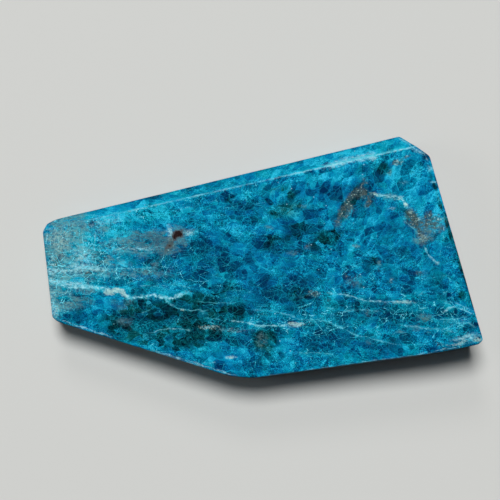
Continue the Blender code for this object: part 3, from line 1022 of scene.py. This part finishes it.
# On the bevel the tone is calmer, and lifted towards pale: painted light on the facet that faces
# the light from behind
calm_tone = times_plus(calc("SUBTRACT", tone, CALM_FROM), CALM_SHARE, CALM_TONE)
tone = node("Mix", {"data_type": "FLOAT"}, _0=bevel_share, _2=tone, _3=calm_tone).outputs[0]
print("tone nodes:", len(tree.nodes))

# %% [markdown]
# ### From tone to colour
# A colour ramp turns the tone into blue, from nearly black to pale turquoise. A second slow
# number, the hue, then tints each plate and grain a little towards navy or sea green. Pale
# parts are tinted less, because they all scatter the same light.

# %% The colour of the tone
BLUE_STEPS = (
    (0.05, (0.000, 0.026, 0.072, 1)),
    (0.25, (0.000, 0.060, 0.136, 1)),
    (0.45, (0.000, 0.116, 0.226, 1)),
    (0.62, (0.000, 0.190, 0.322, 1)),
    (0.80, (0.002, 0.322, 0.480, 1)),
    (1.00, (0.024, 0.540, 0.720, 1)),
)
NAVY, SEA_GREEN = (1.0, 0.86, 1.10, 1), (1.0, 1.04, 0.88, 1)
MIDDLE_HUE = 0.42

blues = node("ValToRGB", None, Fac=tone)
elements = blues.color_ramp.elements
while len(elements) < len(BLUE_STEPS):
    elements.new(0.5)
for element, (position, shade) in zip(elements, BLUE_STEPS):
    element.position, element.color = position, shade

hue = centred(speckle(drifting, 0.30, 2.0), 1.3, 0.36)
for number in (plate[2], grain[2]):
    hue = centred(number, 0.6, hue)
for name, amount in (("veiled", 0.35), ("dark", 0.35), ("clear", -0.25)):
    hue = times_plus(stored(name), amount, hue)
hue_share = ramp(tone, 0.55, 0.90, 1.0, 0.25)
hue = times_plus(calc("SUBTRACT", hue, MIDDLE_HUE), hue_share, MIDDLE_HUE)
colour = blend_colours(1.0, blues.outputs[0], blend_colours(hue, NAVY, SEA_GREEN), "MULTIPLY")
print("blue ground nodes:", len(tree.nodes))

# %% [markdown]
# ### Dark, grey, brown and white inclusions
# Dark green spots are mica and other minerals caught while the apatite grew, the grey haze
# and the white frost are dense fine cracking, and the brown is iron that soaked in along
# cracks. Their patches get ragged borders, because the stored number is multiplied by noise
# before the smooth step.

# %% Inclusions
DARK_TINT = (1.000, 0.250, 0.190, 1)
GREY_HAZE, DARK_HAZE = (0.130, 0.320, 0.340, 1), (0.045, 0.118, 0.165, 1)
RUST, DARK_RUST = (0.074, 0.104, 0.094, 1), (0.018, 0.040, 0.048, 1)
CREAM, FROST = (0.400, 0.620, 0.580, 1), (0.350, 0.710, 0.800, 1)

mottle = speckle(wandering, 1.1, 4.0, 0.65)
flecks = speckle(turned(place, LEVEL_TURN - 4, (0.8, 1.25, 1.2)), 2.0, 4.0, 0.75)
haze_blots = speckle(turned(drifting, LEVEL_TURN - 5, (0.65, 1.1, 1.0)), 0.60, 5.0, 0.7)
stray_dark = ramp(speckle(wandering, 0.55, 4.0, 0.6), 0.60, 0.68)

dark_noise = times_plus(plate[2], 0.40, times(grain[0], 0.60))
dark_share = ragged("dark", dark_noise, 0.8, 0.12, 0.62)
dark_share = times(dark_share, ramp(centred(grain[1], 0.9, mottle), 0.20, 0.60, 0.35, 1.0))
dark_share = larger(dark_share, times(stray_dark, 0.40))
colour = blend_colours(dark_share, colour, DARK_TINT, "MULTIPLY")

grey_share = ragged("grey", haze_blots, 2.8, 0.25, 0.90)
grey_share = times(grey_share, ramp(flecks, 0.36, 0.60, 0.40, 0.95))
haze_light = times_plus(stored("deep"), -0.65, times_plus(stored("veiled"), 0.50, 0.55))
haze_light = times(ramp(flecks, 0.38, 0.60), haze_light)
colour = blend_colours(grey_share, colour, blend_colours(haze_light, DARK_HAZE, GREY_HAZE))

rust_share = ragged("rust", flecks, 2.2, 0.25, 0.95)
rust_colour = blend_colours(ramp(fine, 0.44, 0.58), DARK_RUST, RUST)
rust_colour = blend_colours(ramp(speckle(place, 2.9, 2.0), 0.58, 0.68), rust_colour, CREAM)
colour = blend_colours(times(rust_share, 0.75), colour, rust_colour)

frost_share = times(ragged("frost", flecks, 2.4, 0.20, 1.10), ramp(grit, 0.30, 0.60, 0.5, 1.0))
colour = blend_colours(times(frost_share, 0.85), colour, FROST)
print("inclusion nodes:", len(tree.nodes))

# %% [markdown]
# ### The web of cracks
# Healed cracks fill the stone with a fine net, and the borders between random cells make a
# good one. Long stretched cells give nearly straight cracks, the borders of large round
# cells cross them, and the borders of the plates and grains are cracks too. A slow noise
# lets each net come and go.
# Where the stone is veiled, one more net lies over all of them.

# %% The web
PALE_CYAN, WHITE_CYAN = (0.006, 0.490, 0.650, 1), (0.290, 0.860, 0.980, 1)
WEB_STRETCH, WEB_TURN, WEB_LIMIT = (0.42, 1.05, 0.9), -13.0, 1.3


def net(distance, width):
    """Lines that are full on a border and gone at this distance from it."""
    return ramp(distance, 0.0, width, 1.0, 0.0)


web_here = ramp(speckle(place, 0.28, 3.0), 0.42, 0.60)
web_there = ramp(speckle(place, 0.50, 3.0), 0.45, 0.60)
straight_place = by_part(place, WEB_TURN, RISING_TURN, WEB_STRETCH)
veil_share = times(stored("veiled"), ramp(rough, 0.38, 0.60, 0.15, 0.80))
web = times(net(border(wandering, 0.70), 0.045), veil_share)
for distance, width, where, most, least in (
    (border(straight_place, 0.62), 0.026, web_there, 0.50, 0.14),
    (border(drifting, 0.40), 0.022, web_here, 0.38, 0.08),
    (plate_border, 0.035, web_there, 0.30, 0.08),
    (grain_border, 0.090, web_here, 0.20, 0.04),
):
    web = larger(web, times(net(distance, width), times_plus(where, most, least)))

web_amount = times_plus(stored("veiled"), 1.1, times_plus(stored("clear"), -0.5, 0.9))
web_amount = times(web_amount, times_plus(dark_share, -0.65, 1.0))
web = times(web, times_plus(ramp(grit, 0.36, 0.62), 1.0, 0.4))
web = times(web, calc("MINIMUM", web_amount, WEB_LIMIT))
colour = blend_colours(web, colour, PALE_CYAN)
colour = blend_colours(ramp(web, 0.45, 1.05, 0.0, 0.85), colour, WHITE_CYAN)
print("web nodes:", len(tree.nodes))

# %% [markdown]
# ### Veins
# The stored distances become lines: the nearer to zero, the more of the vein shows. Noise
# added to the distance makes the line tremble, and noise in the strength breaks it up. Under
# each pale vein lies a wide cyan glow, where light spreads from the crack into the stone.

# %% Veins
VEIN_PALE, VEIN_CYAN = (0.330, 0.710, 0.800, 1), (0.180, 0.600, 0.730, 1)
VEIN_CREAM = (0.500, 0.760, 0.710, 1)
thinness = ramp(speckle(place, 0.9, 2.0), 0.34, 0.62, 2.6, 0.65)
broken = ramp(speckle(place, 1.6, 4.0, 0.75), 0.40, 0.60, 0.10, 1.0)
broken = times(broken, ramp(grit, 0.30, 0.60, 0.45, 1.0))


def drawn(name, tremble, soft, core=0.3):
    """How much of a vein shows: one at its line, nothing at a soft distance from it."""
    offset = centred(fine, tremble * 0.5, centred(rough, tremble, stored(name)))
    line = ramp(times(calc("ABSOLUTE", offset), thinness), core, soft, 1.0, 0.0)
    return times(line, stored(name + "_strength"))


rust_line = times(drawn("rust_vein", 3.0, 1.7), ramp(flecks, 0.42, 0.57, 0.12, 1.0))
colour = blend_colours(times(drawn("rust_vein", 4.0, 3.0, 0.0), 0.45), colour, DARK_HAZE)
colour = blend_colours(times(rust_line, 0.95), colour, rust_colour)
cream_share = ragged("cream", fine, 1.8, 0.25, 0.75)
for name, pale in (("vein_a", VEIN_PALE), ("vein_b", VEIN_CYAN), ("vein_c", VEIN_CYAN)):
    glow = times(drawn(name, 4.0, 4.0, 0.0), times_plus(web_there, 0.35, 0.20))
    colour = blend_colours(glow, colour, PALE_CYAN)
    vein_colour = blend_colours(cream_share, pale, VEIN_CREAM)
    colour = blend_colours(times(drawn(name, 2.6, 1.5, 0.2), broken), colour, vein_colour)
colour = blend_colours(times(cream_share, 0.55), colour, CREAM)
print("vein nodes:", len(tree.nodes))

# %% [markdown]
# ### The ridge, the rim, the iron spot and the sparkles
# A painted highlight runs along the ridge as a broken pale line, with a painted band of light
# beside it on the bevel, which widens and narrows with a slow noise. The painted highlights along
# the rim are drawn as veins are. The iron spot is the one nearly black place. The sparkles are
# painted glints: a few cells show their middle as a bright dot.

# %% Ridge, rim, iron and sparkles
RIDGE_HIGHLIGHT, SPARKLE = (0.006, 0.480, 0.620, 1), (0.45, 0.85, 0.95, 1)
IRON, IRON_RIM = (0.018, 0.010, 0.010, 1), (0.070, 0.075, 0.080, 1)

# Painted highlight: a pale band on the bevel beside the ridge, and a broken pale line along the
# ridge itself
past_ridge, ridge_glow = stored("past_ridge"), stored("ridge_glow")
band_width = larger(times_plus(speckle(drifting, 0.35, 3.0), 14.0, -2.0), 1.0)
ridge_highlight_band = times(ramp(calc("DIVIDE", past_ridge, band_width), 0.0, 1.0, 1.0, 0.0), bevel_share)
ridge_highlight_band = times(ridge_highlight_band, ridge_glow, ramp(fine, 0.32, 0.62, 0.35, 1.0))
colour = blend_colours(ridge_highlight_band, colour, RIDGE_HIGHLIGHT)

from_ridge = calc("ABSOLUTE", centred(fine, 2.5, centred(rough, 2.5, past_ridge)))
ridge_breaks = ramp(speckle(place, 0.9, 5.0, 0.8), 0.40, 0.58, 0.1, 1.0)
ridge_highlight_line = times(ramp(from_ridge, 0.2, 1.4, 1.0, 0.0), larger(bevel_share, stored("on_top")))
ridge_highlight_line = times(ridge_highlight_line, ridge_breaks, times_plus(ridge_glow, 0.70, 0.12))
colour = blend_colours(ridge_highlight_line, colour, VEIN_PALE)

# Painted highlight along the rim
painted_rim_share = times(drawn("rim_highlight", 1.5, 1.5), broken, 0.8)
colour = blend_colours(painted_rim_share, colour, VEIN_PALE)
iron_spot = times(stored("iron"), centred(rough, 3.0, 1.0), centred(fine, 2.0, 1.0))
iron_colour = blend_colours(ramp(iron_spot, 0.50, 0.85), IRON_RIM, IRON)
colour = blend_colours(ramp(iron_spot, 0.16, 0.60), colour, iron_colour)

# Painted glints: a bright dot in the middle of a few cells
sparkle = cells(place, 0.62)
sparkle_share = ramp(sparkle.outputs["Distance"], 0.03, 0.070, 1.0, 0.0)
sparkle_share = times(sparkle_share, ramp(cell_numbers(sparkle)[2], 0.60, 0.63), 0.7)
colour = blend_colours(sparkle_share, colour, SPARKLE)
print("colour nodes:", len(tree.nodes))

# %% [markdown]
# ### The polished surface
# The polish is glassy over clear stone and duller over cracks and iron. The bump is very
# small: cracks stand a few thousandths of a millimetre below the surface. The mirror light
# is kept weak, because the camera looks almost straight down on a face that would mirror
# the room.

# %% Surface
APATITE_IOR, MIRROR_LEVEL = 1.63, 0.07
POLISH, RUST_DULLNESS, CRACK_DULLNESS = 0.12, 0.25, 0.08
BUMP_SHARE, BUMP_DEPTH = 0.25, 0.00002
dullness = times_plus(larger(rust_share, rust_line), RUST_DULLNESS, POLISH)
dullness = times_plus(web, CRACK_DULLNESS, dullness)
relief = node("Bump", None, Height=times(web, -1.0), Strength=BUMP_SHARE, Distance=BUMP_DEPTH)
surface = node("BsdfPrincipled", None, Base_Color=colour, Roughness=dullness)
surface.inputs["IOR"].default_value = APATITE_IOR
surface.inputs["Specular IOR Level"].default_value = MIRROR_LEVEL
tree.links.new(relief.outputs[0], surface.inputs["Normal"])
node("OutputMaterial", None, Surface=surface.outputs[0])
mesh.materials.append(material)
print("material nodes:", len(tree.nodes))

# %% [markdown]
# ## The floor
# The stone lies on a plain pale floor, a tenth of a millimetre below its underside so that
# the two surfaces don't flicker through each other. Mirrored light doesn't see the floor,
# because its pale reflection would wash out the polished walls.

# %% Floor
FLOOR_SIZE, FLOOR_DROP = 3.0, 0.0001
FLOOR_COLOUR = (0.60, 0.605, 0.585, 1)
half = FLOOR_SIZE / 2
floor_mesh = bpy.data.meshes.new("floor")
floor_corners = [(-half, -half, 0), (half, -half, 0), (half, half, 0), (-half, half, 0)]
floor_mesh.from_pydata(floor_corners, [], [(0, 1, 2, 3)])
floor = bpy.data.objects.new("floor", floor_mesh)
floor.location.z = -FLOOR_DROP
floor.visible_glossy = False
bpy.context.scene.collection.objects.link(floor)
floor_material = bpy.data.materials.new("pale_floor")
floor_material.use_nodes = True
floor_surface = floor_material.node_tree.nodes["Principled BSDF"]
floor_surface.inputs["Base Color"].default_value = FLOOR_COLOUR
floor_surface.inputs["Roughness"].default_value = 0.9
floor_surface.inputs["Specular IOR Level"].default_value = 0.1
floor_mesh.materials.append(floor_material)
print("floor, m:", FLOOR_SIZE)

# %% [markdown]
# ## The light
# The main lamp is a wide disc almost straight above the stone, a little behind it, so that a
# short soft shadow falls towards the camera. It isn't mirrored in the face, which would wash
# out the blue. A low rim lamp from behind brightens the bevel, and two weak ones keep the
# shadows open from the left and the front.

# %% Lights


def soft_light(name, from_angle, height_angle, distance, size, power):
    """A round lamp at an angle around the stone and above the ground, aimed at the stone."""
    around_angle, up_angle = math.radians(from_angle), math.radians(height_angle)
    data = bpy.data.lights.new(name, "AREA")
    data.shape, data.size, data.energy = "DISK", size, power
    lamp = bpy.data.objects.new(name, data)
    lamp.location = (
        distance * math.cos(up_angle) * math.cos(around_angle),
        distance * math.cos(up_angle) * math.sin(around_angle),
        distance * math.sin(up_angle),
    )
    lamp.rotation_euler = (math.pi / 2 - up_angle, 0, math.pi / 2 + around_angle)
    bpy.context.scene.collection.objects.link(lamp)
    return lamp


ROOM_COLOUR, ROOM_LIGHT = (0.9, 0.95, 1.0, 1), 0.025
key = soft_light("key", 106, 75, 3.0, 1.25, 85.5)
key.visible_glossy = False
soft_light("rim", 100, 42, 3.0, 1.0, 12.0)
soft_light("left_fill", 185, 38, 2.5, 0.9, 4.0)
soft_light("front_fill", 285, 42, 2.5, 1.2, 0.8)
world = bpy.data.worlds.new("room")
world.use_nodes = True
room = world.node_tree.nodes["Background"]
room.inputs["Color"].default_value = ROOM_COLOUR
room.inputs["Strength"].default_value = ROOM_LIGHT
bpy.context.scene.world = world
bpy.context.scene.view_settings.view_transform = "Standard"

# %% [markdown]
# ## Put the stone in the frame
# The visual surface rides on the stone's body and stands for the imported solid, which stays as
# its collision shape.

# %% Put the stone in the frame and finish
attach(stone, "root")
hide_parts("apatite_slab")
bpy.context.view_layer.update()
